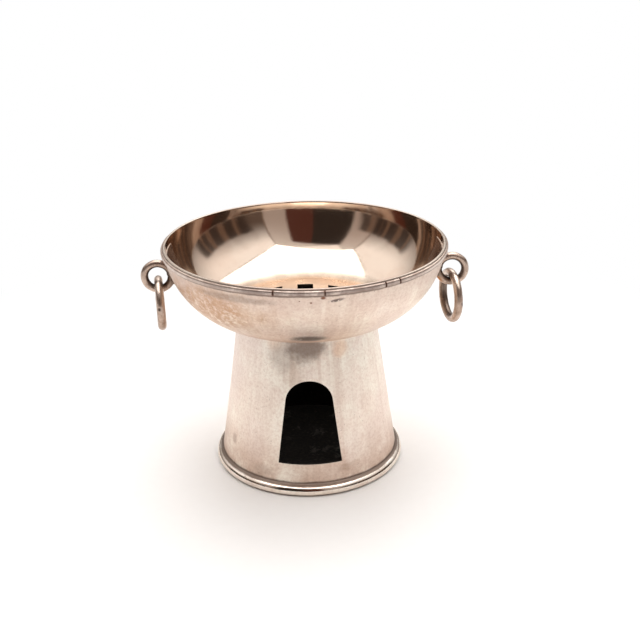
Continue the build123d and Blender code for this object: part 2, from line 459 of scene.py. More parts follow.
def surfaced(nodes, shader, colour, roughness, height, strength, distance=0.00006):
    """Ends a finish: its colour, roughness and relief."""
    nodes.feed(shader.inputs["Base Color"], colour)
    nodes.feed(shader.inputs["Roughness"], roughness)
    relief = {"Strength": strength, "Distance": distance, "Height": height}
    nodes.feed(shader.inputs["Normal"], nodes.add("ShaderNodeBump", (), relief))


def worn_plate():
    """Satin silver plate that wears through to warm copper, with a fine cross-hatch from polishing."""
    finish, nodes, shader, place = new_finish("worn silver plate")
    across, along, up = nodes.split(place)
    radius = ((across * across + along * along) ** 0.5).math("MAXIMUM", 0.001)
    turned = across.math("ARCTAN2", along * -1.0) * (360 / tau)
    upright = nodes.join(across / radius * 0.03, along / radius * 0.03, up * 0.06)
    level = nodes.join(across * 0.07, along * 0.07, up)
    uprights = nodes.grain(upright, 2200, detail=2, roughness=0.6)
    broad_uprights = nodes.grain(upright, 520, detail=3, roughness=0.5)
    levels = nodes.grain(level, 1900, detail=2, roughness=0.6)
    mottle = nodes.grain(place, 75, detail=5, roughness=0.62)
    cloud = nodes.grain(place, 34, detail=3, roughness=0.5)
    blotch = nodes.grain(upright, 190, detail=4, roughness=0.6)
    fine = nodes.grain(place, 1150, detail=3, roughness=0.6)
    speck = nodes.grain(place, 1500, detail=2, roughness=0.7)
    rag = nodes.grain(place, 260, detail=4, roughness=0.65)
    fleck = nodes.grain(place, 520, detail=3, roughness=0.7)
    spot = (turned, up, rag)

    colour = nodes.mix(nodes.rise(mottle, 0.34, 0.62), (1.0, 0.93, 0.82), (0.96, 0.84, 0.74))
    colour = nodes.mix(nodes.rise(cloud, 0.42, 0.66) * 0.6, colour, (0.91, 0.785, 0.72))
    colour = nodes.mix(nodes.rise(blotch, 0.54, 0.70) * 0.42, colour, (0.74, 0.565, 0.47))
    colour = nodes.mix(nodes.rise(rag, 0.50, 0.70) * 0.30, colour, (0.80, 0.63, 0.53))
    bowl_part = nodes.rise(up, FLOOR_HEIGHT - 0.0003, FLOOR_HEIGHT + 0.0004)
    colour = nodes.mix(bowl_part, colour, (0.97, 0.955, 0.94), "MULTIPLY")
    toned = nodes.rise(up + (mottle - 0.5) * 0.012, 0.069, 0.080)
    colour = nodes.mix(toned * 0.5, colour, (0.69, 0.535, 0.465))
    warm = stain(nodes, spot, -50, 0.0710, 38, 0.0105, 1.8)
    warm = warm.math("MAXIMUM", stain(nodes, spot, 150, 0.070, 34, 0.007, 1.6) * 0.8)
    warm = warm * nodes.rise(fleck, 0.26, 0.60)
    colour = nodes.mix(warm * 0.9, colour, (0.60, 0.375, 0.235))
    heat = stain(nodes, spot, 26, 0.052, 7.5, 0.0035, 1.2)
    heat = heat.math("MAXIMUM", stain(nodes, spot, -27, 0.054, 7, 0.003, 1.2) * 0.5)
    colour = nodes.mix(heat * 0.65, colour, (0.86, 0.60, 0.43))
    hem = nodes.rise(up, FLOOR_HEIGHT + 0.0052, FLOOR_HEIGHT + 0.0012)
    hem = hem * nodes.rise(up, FLOOR_HEIGHT - 0.0004, FLOOR_HEIGHT) * nodes.rise(rag, 0.15, 0.45)
    colour = nodes.mix(hem * 0.72, colour, (0.60, 0.395, 0.27))
    # Painted highlight: a thin light line round the bowl's bottom corner, where it meets the pedestal.
    painted_edge_highlight = nodes.rise(up, FLOOR_HEIGHT + 0.0010, FLOOR_HEIGHT + 0.0005) * bowl_part
    colour = nodes.mix(painted_edge_highlight * 0.85, colour, (1.0, 0.90, 0.77))
    under_bowl = stain(nodes, spot, -3, 0.0525, 19, 0.0050, 1.1)
    faint = stain(nodes, spot, -19, 0.050, 14, 0.006, 1.3) * 0.38
    drips = stain(nodes, spot, -13, 0.0440, 10, 0.0060, 1.3) * nodes.rise(broad_uprights, 0.35, 0.65)
    # A dark patch low on the bowl's front, above the door.
    front_dark_patch = stain(nodes, spot, 0.5, 0.0622, 9.5, 0.0019, 0.9) * nodes.rise(rag, 0.30, 0.50)
    band_grey = stain(nodes, spot, -28, 0.0785, 17, 0.0014, 1.0) * 0.45
    side_marks = stain(nodes, spot, -61, 0.0136, 3, 0.0022, 1.2)
    low_marks = stain(nodes, spot, 23, 0.0085, 5.5, 0.0018, 1.6)
    low_marks = low_marks.math("MAXIMUM", stain(nodes, spot, -33, 0.007, 8, 0.0026, 1.6))
    grey = under_bowl.math("MAXIMUM", faint).math("MAXIMUM", band_grey)
    colour = nodes.mix(drips * 0.5, colour, (0.60, 0.44, 0.34))
    colour = nodes.mix(grey * nodes.rise(mottle, 0.12, 0.46) * 0.9, colour, (0.345, 0.275, 0.235))
    colour = nodes.mix(front_dark_patch * 0.85, colour, (0.13, 0.105, 0.085))
    colour = nodes.mix(side_marks * 0.5 + low_marks * 0.45, colour, (0.42, 0.30, 0.24))
    # Darker towards the foot of the pedestal: partly grime, partly painted shade for the darker reflections
    # low on the cone.
    dirt_and_shade = nodes.rise(up, 0.023, FOOT_TOP_HEIGHT) * nodes.rise(mottle, 0.30, 0.60)
    colour = nodes.mix(dirt_and_shade * 0.62, colour, (0.60, 0.42, 0.315))
    solder = nodes.rise(up + rag * 0.0008, FOOT_TOP_HEIGHT + 0.0018, FOOT_TOP_HEIGHT + 0.0009)
    colour = nodes.mix(solder * 0.85, colour, (0.17, 0.12, 0.095))
    # Painted shade, with some solder: a dark line on the wall along the lower edge of the rim band.
    groove = nodes.rise(up + rag * 0.0006, BAND_LOW_HEIGHT - 0.0004, BAND_LOW_HEIGHT + 0.0001)
    groove = groove * nodes.rise(up, BAND_LOW_HEIGHT + 0.0021, BAND_LOW_HEIGHT + 0.0019)
    colour = nodes.mix(groove * 0.8, colour, (0.22, 0.165, 0.14))
    # Painted shadow: a dark line on the bowl's wall along the edges and tip of each strap.
    strap_half = STRAP_TIP_HALF + (up - STRAP_TIP_HEIGHT) * (
        (STRAP_HALF - STRAP_TIP_HALF) / (STRAP_SHOULDER_HEIGHT - STRAP_TIP_HEIGHT)
    )
    off_strap = abs(along) - strap_half.math("MINIMUM", STRAP_HALF) + (rag - 0.5) * 0.0006
    strap_edge_shadow = nodes.rise(off_strap, 0.0009, 0.0003) * nodes.rise(off_strap, -0.0007, -0.0004)
    strap_edge_shadow = strap_edge_shadow * nodes.rise(up, STRAP_TIP_HEIGHT - 0.0040, STRAP_TIP_HEIGHT - 0.0030)
    strap_edge_shadow = strap_edge_shadow * nodes.rise(radius, wall_radius(STRAP_TIP_HEIGHT) - 0.002, wall_radius(STRAP_TIP_HEIGHT))
    colour = nodes.mix(strap_edge_shadow * 0.85, colour, (0.16, 0.115, 0.085))
    rust = stain(nodes, spot, 5.6, 0.0803, 1.1, 0.0006, 0.8)
    rust = rust.math("MAXIMUM", stain(nodes, spot, 1.2, 0.0787, 0.45, 0.0003, 0.8))
    rust = rust.math("MAXIMUM", stain(nodes, spot, -3.0, 0.0794, 0.3, 0.0002, 0.8))
    colour = nodes.mix(rust * 0.9, colour, (0.20, 0.065, 0.03))
    gouge = stain(nodes, spot, 10.4, turned * 0.00012 + 0.0779, 3.1, 0.0006, 0.8)
    gouge = gouge * nodes.rise(fleck, 0.36, 0.50)
    colour = nodes.mix(gouge * 0.9, colour, (0.09, 0.065, 0.06))
    # Painted shade: the lip is darker at the front and back than at the sides.
    lip = nodes.rise(up, LIP_HEIGHT - 0.0006, LIP_HEIGHT - 0.0003)
    beside = nodes.rise(abs(abs(turned) - 88), 62, 30)
    colour = nodes.mix(lip * 0.9, colour, nodes.mix(beside, (0.47, 0.375, 0.315), (0.90, 0.80, 0.69)))
    pits = nodes.rise(speck, 0.66, 0.73)
    colour = nodes.mix(pits * 0.5, colour, (0.34, 0.24, 0.19))
    colour = nodes.mix(nodes.rise(fine, 0.60, 0.36) * 0.26, colour, (0.66, 0.52, 0.45), "MULTIPLY")
    hatch = nodes.rise(uprights, 0.62, 0.36) * 0.6 + nodes.rise(levels, 0.64, 0.38) * 0.4
    colour = nodes.mix(hatch * 0.10, colour, (0.60, 0.46, 0.38), "MULTIPLY")
    colour = nodes.mix(nodes.rise(broad_uprights, 0.66, 0.42) * 0.10, colour, (0.62, 0.50, 0.44), "MULTIPLY")
    grate = nodes.rise(radius, GRATE_BORDER, GRATE_BORDER - 0.0003)
    grate = grate * nodes.rise(up, FLOOR_HEIGHT - 0.001, FLOOR_HEIGHT)
    grate = grate * nodes.rise(up, LIP_HEIGHT - 0.003, LIP_HEIGHT - 0.004)
    colour = nodes.mix(grate * 0.96, colour, (0.012, 0.009, 0.007))
    dull = grey * 0.16 + mottle * 0.16 + fine * 0.10 + uprights * 0.05 + pits * 0.2
    dull = dull + solder * 0.2 + grate * 0.4
    shader.inputs["Metallic"].default_value = 1.0
    height = uprights * 0.35 + levels * 0.25 + fine * 0.6 - pits * 1.2 + mottle * 2.5
    height = height - gouge * 4.0 - rust * 2.0
    roughness = (dull + bowl_part * 0.07 + 0.245) * (1 - lip * 0.35)
    surfaced(nodes, shader, colour, roughness, height, 0.32)
    return finish


def polished_plate():
    """The inside's mirror polish, with faint spinning rings and wipe marks, tarnished on its floor."""
    finish, nodes, shader, place = new_finish("polished plate")
    across, along, up = nodes.split(place)
    radius = (across * across + along * along) ** 0.5
    haze = nodes.grain(place, 60, detail=5, roughness=0.6)
    wipe = nodes.grain(nodes.join(across * 0.15, along, up), 900, detail=3)
    rings = nodes.grain(nodes.join(radius, up, 0.0), 700, detail=2)
    speck = nodes.grain(place, 1700, detail=2, roughness=0.7)
    colour = nodes.mix(nodes.rise(haze, 0.38, 0.66), (0.95, 0.785, 0.65), (0.91, 0.72, 0.585))
    ash = nodes.rise(up, FLOOR_HEIGHT + 0.006, FLOOR_HEIGHT + 0.001) * nodes.rise(haze, 0.40, 0.62)
    colour = nodes.mix(ash * 0.18, colour, (0.55, 0.42, 0.33))
    bottom_part = nodes.rise(up, FLOOR_HEIGHT + 0.0036, FLOOR_HEIGHT + 0.0014)
    tarnish = nodes.mix(nodes.rise(haze, 0.36, 0.64), (0.28, 0.215, 0.16), (0.20, 0.15, 0.11))
    colour = nodes.mix(bottom_part * 0.85, colour, tarnish)
    pits = nodes.rise(speck, 0.69, 0.76)
    colour = nodes.mix(pits * 0.5, colour, (0.35, 0.24, 0.18))
    below = nodes.rise(up, FLOOR_HEIGHT + SHEET * 0.85, FLOOR_HEIGHT + SHEET * 0.6)
    colour = nodes.mix(below * 0.95, colour, (0.012, 0.009, 0.007))
    roughness = haze * 0.10 + wipe * 0.07 + ash * 0.08 + bottom_part * 0.16 + 0.005
    shader.inputs["Metallic"].default_value = 1.0
    height = haze * 3.0 + rings * 0.12 + wipe * 0.05
    surfaced(nodes, shader, colour, roughness, height, 0.25)
    return finish


def soot():
    """The dull black crust of smoke and ash on faces that never get wiped."""
    finish, nodes, shader, place = new_finish("soot")
    crust = nodes.grain(place, 180, detail=6, roughness=0.7)
    flake = nodes.grain(place, 900, detail=3, roughness=0.7)
    colour = nodes.mix(nodes.rise(crust, 0.42, 0.70), (0.010, 0.008, 0.0065), (0.035, 0.026, 0.020))
    colour = nodes.mix(nodes.rise(flake, 0.62, 0.72) * 0.4, colour, (0.10, 0.085, 0.07))
    shader.inputs["Specular IOR Level"].default_value = 0.25
    surfaced(nodes, shader, colour, crust * 0.3 + 0.6, crust + flake * 0.3, 0.5, 0.0002)
    return finish


worn_silver = worn_plate()
polished_silver = polished_plate()
soot_crust = soot()

bowl = object_from(bowl_shape(), "bowl_spun")
bottom = min(bowl.data.polygons, key=lambda face: face.center.z)
if bottom.normal.z > 0:
    bowl.data.flip_normals()
bowl.data.materials.append(worn_silver)
bowl.data.materials.append(polished_silver)
with_modifier(
    bowl, "SOLIDIFY", thickness=SHEET, offset=-1.0, use_even_offset=True,
    material_offset=1, material_offset_rim=0,
)
bevelled(bowl, lambda edge: edge.verts[0].co.z > LIP_HEIGHT - 0.002, LIP_ROUNDING)
bevelled(
    bowl, lambda edge: max(vertex.co.xy.length for vertex in edge.verts) < GRATE_RADIUS + 0.001,
    SLOT_ROUNDING, segments=2,
)
hand_made(bowl)
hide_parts("bowl")
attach(bowl, "burner")


# ---- rim band ----
# A rounded strip of plated metal soldered round the bowl just under its lip. It has cracked
# through in four places at the front, so it is four lengths with hairline gaps between them.

band_low, band_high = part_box("rim_band")
BAND_ROUNDING = 0.0007
BAND_SINK = 0.00008
CRACK_GAP = 0.00026
CRACKS = (-12.3, 6.1, 29.5, 36.0)
GROOVE_DEPTH = 0.00036


def band_section():
    """Outline of the strip, with a small groove where it meets the lip and the wall."""
    outline = []
    for centre_height, first in ((band_low.z + BAND_ROUNDING, -90), (band_high.z - BAND_ROUNDING, 0)):
        for step in range(7):
            turn = radians(first + 15 * step)
            outline.append((
                band_high.x + BAND_ROUNDING * (cos(turn) - 1), centre_height + BAND_ROUNDING * sin(turn)
            ))
    for step in range(7):
        height = band_high.z - GROOVE_DEPTH - (band_high.z - band_low.z - 2 * GROOVE_DEPTH) * step / 6
        outline.append((wall_radius(height) - BAND_SINK, height))
    return outline


def band_shape():
    """Each length is the section turned from one crack to the next."""
    bm = bmesh.new()
    gap = CRACK_GAP / band_high.x
    for first, last in zip(CRACKS, CRACKS[1:] + (CRACKS[0] + 360,)):
        length = bmesh.new()
        face = length.faces.new([length.verts.new((radius, 0, height)) for radius, height in band_section()])
        begin = radians(first - 90) + gap / 2
        bmesh.ops.rotate(length, verts=length.verts, cent=(0, 0, 0), matrix=Matrix.Rotation(begin, 3, "Z"))
        sweep_angle = radians(last - first) - gap
        bmesh.ops.spin(
            length, geom=length.verts[:] + length.edges[:] + [face], axis=(0, 0, 1), cent=(0, 0, 0),
            angle=sweep_angle, steps=max(8, ceil(ROUND_STEPS * sweep_angle / tau)), use_merge=False,
        )
        bmesh.ops.recalc_face_normals(length, faces=length.faces)
        joined = bpy.data.meshes.new("length")
        length.to_mesh(joined)
        length.free()
        bm.from_mesh(joined)
        bpy.data.meshes.remove(joined)
    return bm


def uneven(bm, amount, scale, seed):
    """Moves every point in or out a little, for wire and strip drawn and filed by hand."""
    bm.normal_update()
    lifts = [amount * noise.noise(vertex.co * scale + Vector((seed, 0, 0))) for vertex in bm.verts]
    for vertex, lift in zip(bm.verts, lifts):
        vertex.co += vertex.normal * lift


def band_finish():
    """Rosy worn strip with a painted highlight near its top, darker at the front from tarnish and painted
    shade, with painted shade in the grooves, and brown at the cracks.
    """
    finish, nodes, shader, place = new_finish("worn rim strip")
    across, along, up = nodes.split(place)
    radius = ((across * across + along * along) ** 0.5).math("MAXIMUM", 0.001)
    turned = across.math("ARCTAN2", along * -1.0) * (360 / tau)
    mottle = nodes.grain(place, 240, detail=5, roughness=0.65)
    run = nodes.grain(nodes.join(turned * 0.00025, radius * 2, up * 2), 1300, detail=2)
    speck = nodes.grain(place, 1300, detail=2, roughness=0.7)
    colour = nodes.mix(nodes.rise(mottle, 0.36, 0.66), (0.80, 0.66, 0.565), (0.60, 0.46, 0.385))
    # Painted highlight: a lighter line along the top of the strip's outer face.
    painted_crown_highlight = nodes.rise(abs(up - (band_high.z - 0.00075) + (run - 0.5) * 0.0004), 0.0005, 0.00015)
    colour = nodes.mix(painted_crown_highlight * 0.45, colour, (0.84, 0.70, 0.62))
    colour = nodes.mix(nodes.rise(run, 0.56, 0.68) * 0.35, colour, (0.40, 0.29, 0.24))
    # Painted shade, with some solder: dark lines along the strip's lower edge and its top inner corner by the
    # lip.
    low = nodes.rise(up + (mottle - 0.5) * 0.0006, band_low.z + 0.0006, band_low.z + 0.0002)
    top = nodes.rise(radius, band_high.x - 0.00045, band_high.x - 0.0006)
    top = top * nodes.rise(up, band_high.z - 0.0005, band_high.z - 0.0002)
    # Darker and duller at the front: partly tarnish, partly painted shade, as less light falls on the front.
    tarnish = nodes.rise(abs(turned), 62, 18) * nodes.rise(mottle, 0.20, 0.50)
    colour = nodes.mix(tarnish * 0.9, colour, (0.50, 0.475, 0.48), "MULTIPLY")
    joint_solder_and_shade = low.math("MAXIMUM", top * (tarnish * 0.5 + 0.5))
    colour = nodes.mix(joint_solder_and_shade * 0.9, colour, (0.17, 0.125, 0.10))
    cracked = None
    for crack in CRACKS:
        near = nodes.rise(abs(turned - crack) + (mottle - 0.5) * 0.5, 0.55, 0.22)
        cracked = near if cracked is None else cracked.math("MAXIMUM", near)
    colour = nodes.mix(cracked * 0.8, colour, (0.16, 0.07, 0.045))
    colour = nodes.mix(nodes.rise(speck, 0.66, 0.72) * 0.5, colour, (0.22, 0.15, 0.12))
    shader.inputs["Metallic"].default_value = 1.0
    roughness = mottle * 0.22 + run * 0.10 + cracked * 0.2 + tarnish * 0.08 + 0.20
    surfaced(nodes, shader, colour, roughness, mottle * 1.5 + run * 0.6, 0.4)
    return finish


band_bm = band_shape()
uneven(band_bm, 0.00006, 420, 1.0)
band = object_from(band_bm, "rim_band_strip")
band.data.materials.append(band_finish())
hand_made(band)
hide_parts("rim_band")
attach(band, "burner")


# ---- pedestal ----
# A hollow cone rolled from the same plated sheet and soldered under the bowl, with an arched
# draught door sawn out of the front. Its inside is black with soot.

pedestal_low, pedestal_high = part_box("pedestal")
FOOT_RADIUS = pedestal_high.x
TOP_RADIUS = FLOOR_RADIUS - 0.0053
TAPER = (FOOT_RADIUS - TOP_RADIUS) / pedestal_high.z
WALL_ACROSS = SHEET * hypot(1, TAPER)
CONE_STEPS = 26
DOOR_SILL_HEIGHT = 0.0112
DOOR_SPRING_HEIGHT = DOOR_SILL_HEIGHT + 0.0233
DOOR_ARCH_RISE = 0.0069
DOOR_SILL_WIDTH = 0.0223
DOOR_ARCH_WIDTH = 0.0163
ARCH_STEPS = 28
DOOR_ROUNDING = 0.0001


def cone_radius(height):
    """Outer radius of the pedestal at a height."""
    return FOOT_RADIUS - TAPER * height


def cone_shape():
    """The rolled sheet, closed at its top and bottom edges."""
    rise = (pedestal_high.z - pedestal_low.z) / CONE_STEPS
    heights = [pedestal_low.z + rise * step for step in range(CONE_STEPS + 1)]
    outline = [(cone_radius(height), height) for height in heights]
    outline += [(cone_radius(height) - WALL_ACROSS, height) for height in reversed(heights)]
    bm = bmesh.new()
    spun(bm, outline, closed=True)
    return bm


def door_cutter():
    """The space of the door: a tapering opening with a round top, from the axis to the front."""
    half = DOOR_ARCH_WIDTH / 2
    radius = (half**2 + DOOR_ARCH_RISE**2) / (2 * DOOR_ARCH_RISE)
    centre = DOOR_SPRING_HEIGHT + DOOR_ARCH_RISE - radius
    spring = atan2(DOOR_SPRING_HEIGHT - centre, half)
    outline = [(-DOOR_SILL_WIDTH / 2, DOOR_SILL_HEIGHT), (DOOR_SILL_WIDTH / 2, DOOR_SILL_HEIGHT)]
    for step in range(ARCH_STEPS + 1):
        turn = spring + (pi - 2 * spring) * step / ARCH_STEPS
        outline.append((radius * cos(turn), centre + radius * sin(turn)))
    bm = bmesh.new()
    face = bm.faces.new([bm.verts.new((x, -2 * FOOT_RADIUS, z)) for x, z in outline])
    pulled = bmesh.ops.extrude_face_region(bm, geom=[face])["geom"]
    moved = [item for item in pulled if isinstance(item, bmesh.types.BMVert)]
    bmesh.ops.translate(bm, vec=(0, 2 * FOOT_RADIUS, 0), verts=moved)
    return bm


def at_door(edge):
    """Whether an edge of the cut sheet runs round the door."""
    middle = (edge.verts[0].co + edge.verts[1].co) / 2
    return middle.y < 0 and pedestal_low.z + 0.005 < middle.z < pedestal_high.z - 0.005


pedestal = object_from(cone_shape(), "pedestal_cone")
pedestal.data.materials.append(worn_silver)
pedestal.data.materials.append(soot_crust)
cutter = object_from(door_cutter(), "door_cutter")
with_modifier(pedestal, "BOOLEAN", object=cutter, operation="DIFFERENCE", solver="EXACT")
bpy.data.objects.remove(cutter)
bevelled(pedestal, at_door, DOOR_ROUNDING, segments=2)
for face in pedestal.data.polygons:
    middle = face.center
    inside = hypot(middle.x, middle.y) < cone_radius(middle.z) - WALL_ACROSS * 0.85
    face.material_index = 1 if inside else 0
hand_made(pedestal)
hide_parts("pedestal")
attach(pedestal, "burner")


# ---- foot ring ----
# A half-round wire bent round the bottom of the pedestal and soldered on. Handling keeps it
# bright, with a dark line of old solder along its top.

FOOT_WIRE_RADIUS = 0.002
FOOT_WIRE_HEIGHT = 0.0017
FILLET_HEIGHT = 0.0005


def foot_section():
    """Outline of the wire: flat on the table, round outside, and a small fillet of solder on top."""
    centre = cone_radius(FOOT_WIRE_HEIGHT)
    first = -atan2(FOOT_WIRE_HEIGHT, sqrt(FOOT_WIRE_RADIUS**2 - FOOT_WIRE_HEIGHT**2))
    last = radians(66)
    outline = [(cone_radius(0) - 0.0001, 0.0)]
    for step in range(17):
        turn = first + (last - first) * step / 16
        reach = centre + FOOT_WIRE_RADIUS * cos(turn)
        outline.append((reach, FOOT_WIRE_HEIGHT + FOOT_WIRE_RADIUS * sin(turn)))
    top = FOOT_WIRE_HEIGHT + FOOT_WIRE_RADIUS
    outline.append((cone_radius(top) + 0.0002, top + FILLET_HEIGHT * 0.3))
    outline.append((cone_radius(top) - 0.0001, top + FILLET_HEIGHT))
    return outline


def foot_finish():
    """Bright rubbed wire, darker brown towards the table, with old solder at its top edge."""
    finish, nodes, shader, place = new_finish("rubbed foot wire")
    across, along, up = nodes.split(place)
    turned = across.math("ARCTAN2", along * -1.0) * (360 / tau)
    mottle = nodes.grain(place, 130, detail=5, roughness=0.62)
    run = nodes.grain(nodes.join(turned * 0.0003, up * 2, 0.0), 1500, detail=2)
    speck = nodes.grain(place, 1300, detail=2, roughness=0.7)
    colour = nodes.mix(nodes.rise(mottle, 0.38, 0.66), (0.97, 0.88, 0.79), (0.84, 0.72, 0.62))
    colour = nodes.mix(nodes.rise(run, 0.58, 0.70) * 0.4, colour, (0.45, 0.34, 0.27))
    # Darker brown towards the table.
    low = nodes.rise(up + (mottle - 0.5) * 0.0008, 0.0009, 0.0002)
    top = nodes.rise(up + (mottle - 0.5) * 0.0004, FOOT_TOP_HEIGHT - 0.00035, FOOT_TOP_HEIGHT - 0.00005)
    colour = nodes.mix(low * 0.55, colour, (0.35, 0.25, 0.19))
    colour = nodes.mix(top * 0.9, colour, (0.16, 0.11, 0.085))
    colour = nodes.mix(nodes.rise(speck, 0.67, 0.73) * 0.5, colour, (0.25, 0.17, 0.13))
    shader.inputs["Metallic"].default_value = 1.0
    roughness = mottle * 0.14 + run * 0.06 + top * 0.3 + 0.05
    surfaced(nodes, shader, colour, roughness, mottle * 2.0 + run * 0.4, 0.35)
    return finish


foot_bm = bmesh.new()
spun(foot_bm, foot_section(), closed=True)
uneven(foot_bm, 0.00005, 160, 4.0)
foot = object_from(foot_bm, "foot_ring_wire", smooth_below=50)
foot.data.materials.append(foot_finish())
hand_made(foot)
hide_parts("foot_ring")
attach(foot, "burner")


# ---- base plate ----
# A plain disc soldered inside the foot, which catches the ash that falls through the slots.
# Old ash lies on it in low drifts, grey over the soot.

plate_low, plate_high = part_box("base_plate")
PLATE_STEPS = 22
ASH_DEPTH = 0.0007


def plate_shape():
    """The disc, with its upper face raised where ash has settled."""
    bm = bmesh.new()
    rim = cone_radius(plate_high.z) - WALL_ACROSS
    outline = [(0, plate_low.z), (rim, plate_low.z)]
    outline += [(rim * (1 - step / PLATE_STEPS), plate_high.z) for step in range(PLATE_STEPS + 1)]
    spun(bm, outline, steps=96)
    for vertex in bm.verts:
        if vertex.co.z > plate_low.z + 0.0001:
            drift = noise.fractal(vertex.co * 120, 1.0, 2.0, 4) * 0.5 + 0.3
            shore = smooth_step(rim - vertex.co.xy.length, 0.0, 0.004)
            vertex.co.z += ASH_DEPTH * max(0.0, drift) * shore
    return bm


def ash_finish():
    """Sooty metal under patches of fine grey ash."""
    finish, nodes, shader, place = new_finish("ash on soot")
    drift = nodes.grain(place, 110, detail=6, roughness=0.65)
    dust = nodes.grain(place, 900, detail=4, roughness=0.7)
    colour = nodes.mix(nodes.rise(dust, 0.4, 0.7), (0.010, 0.008, 0.007), (0.030, 0.023, 0.018))
    ash = nodes.rise(drift, 0.55, 0.68) * nodes.rise(dust, 0.30, 0.55)
    colour = nodes.mix(ash * 0.45, colour, (0.13, 0.115, 0.10))
    shader.inputs["Specular IOR Level"].default_value = 0.2
    surfaced(nodes, shader, colour, dust * 0.2 + 0.72, drift + dust * 0.4, 0.6, 0.0003)
    return finish


plate = object_from(plate_shape(), "base_plate_disc")
plate.data.materials.append(ash_finish())
hand_made(plate)
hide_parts("base_plate")
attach(plate, "burner")


# ---- straps ----
# A tongue of sheet on each side, bent to the bowl's wall and soldered on to back the eye.
# Its edges are filed round, and its face is brighter than the bowl's.

STRAP_THICKNESS = 0.0011
STRAP_CUTS = 18
EYE_HEIGHT = (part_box("right_eye")[0].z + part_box("right_eye")[1].z) / 2
STRAP_ROUNDING = 0.0003
TIP_STEPS = 12


def strap_shape(node, outward):
    """The tongue cut flat, then bent round the wall; its thickness is added after."""
    low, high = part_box(node)
    top = high.z
    half = high.y
    bm = bmesh.new()
    tip_centre = low.z + STRAP_TIP_HALF
    outline = [(half, top), (-half, top), (-half, top - half)]
    for step in range(TIP_STEPS + 1):
        turn = pi + pi * step / TIP_STEPS
        outline.append((STRAP_TIP_HALF * cos(turn), tip_centre + STRAP_TIP_HALF * sin(turn)))
    outline.append((half, top - half))
    bm.faces.new([bm.verts.new((0, y, z)) for y, z in outline])
    cuts = [((0, 0, low.z + (top - low.z) * step / STRAP_CUTS), (0, 0, 1)) for step in range(1, STRAP_CUTS)]
    cuts += [((0, half * step / 4, 0), (0, 1, 0)) for step in range(-3, 4)]
    for middle, facing in cuts:
        geometry = bm.verts[:] + bm.edges[:] + bm.faces[:]
        bmesh.ops.bisect_plane(bm, geom=geometry, plane_co=middle, plane_no=facing)
    for vertex in bm.verts:
        reach = wall_radius(vertex.co.z, -0.00005)
        vertex.co.x = outward * sqrt(reach**2 - vertex.co.y**2)
    bmesh.ops.recalc_face_normals(bm, faces=bm.faces)
    facing = sum((face.normal.x for face in bm.faces), 0.0) * outward
    if facing > 0:
        bmesh.ops.reverse_faces(bm, faces=bm.faces)
    return bm


def strap_finish():
    """Bright scraped plate, darker along its edges and round the eye from solder and painted shade."""
    finish, nodes, shader, place = new_finish("scraped strap plate")
    across, along, up = nodes.split(place)
    mottle = nodes.grain(place, 200, detail=5, roughness=0.62)
    scrape = nodes.grain(nodes.join(across, along, up * 0.1), 1500, detail=3)
    speck = nodes.grain(place, 1300, detail=2, roughness=0.7)
    half = STRAP_TIP_HALF + (up - STRAP_TIP_HEIGHT) * (
        (STRAP_HALF - STRAP_TIP_HALF) / (STRAP_SHOULDER_HEIGHT - STRAP_TIP_HEIGHT)
    )
    inward = half.math("MINIMUM", STRAP_HALF) - abs(along) + (mottle - 0.5) * 0.0008
    colour = nodes.mix(nodes.rise(mottle, 0.36, 0.64), (0.95, 0.83, 0.74), (0.82, 0.68, 0.59))
    colour = nodes.mix(nodes.rise(scrape, 0.56, 0.68) * 0.3, colour, (0.50, 0.38, 0.31))
    # Painted shade, with some solder: darker along the strap's edges.
    colour = nodes.mix(nodes.rise(inward, 0.0005, 0.0001) * 0.6, colour, (0.32, 0.23, 0.18))
    # Painted shade, with some solder: a dark patch on the strap round the eye's joint.
    eye_joint_solder_and_shade = nodes.rise(abs(up - EYE_HEIGHT), 0.0072, 0.0052) * nodes.rise(abs(along), 0.0034, 0.0012)
    colour = nodes.mix(eye_joint_solder_and_shade * nodes.rise(mottle, 0.30, 0.55) * 0.7, colour, (0.24, 0.15, 0.10))
    colour = nodes.mix(nodes.rise(speck, 0.66, 0.72) * 0.5, colour, (0.25, 0.17, 0.13))
    shader.inputs["Metallic"].default_value = 1.0
    roughness = mottle * 0.20 + scrape * 0.12 + 0.08
    surfaced(nodes, shader, colour, roughness, mottle * 2.0 + scrape * 0.6, 0.35)
    return finish


strap_plate = strap_finish()
for side, outward in (("left", -1), ("right", 1)):
    strap = object_from(strap_shape(side + "_strap", outward), side + "_strap_tongue")
    strap.data.materials.append(strap_plate)
    with_modifier(strap, "SOLIDIFY", thickness=STRAP_THICKNESS, offset=-1.0, use_even_offset=True)
    bevelled(strap, lambda edge: True, STRAP_ROUNDING, segments=3)
    hand_made(strap)
    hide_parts(side + "_strap")
    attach(strap, "burner")


# ---- eyes ----
# A loop of thick wire on each side, bent round and soldered to its strap with a blob on each
# side of the joint. It is darker than the bowl, with painted shade black inside the loop and at the strap.

EYE_WIRE = 0.0027
EYE_HALF = (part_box("right_eye")[1].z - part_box("right_eye")[0].z) / 2
EYE_LOOP = EYE_HALF - EYE_WIRE / 2
EYE_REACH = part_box("right_eye")[1].x - EYE_HALF
SOLDER_VOXEL = 0.00011
RUST_REACH = 0.0475
RUST_DROP = 0.0036
SOLDER_BLOBS = ((0.0012, 0.00175), (-0.0012, 0.00195), (0.0, 0.0015))


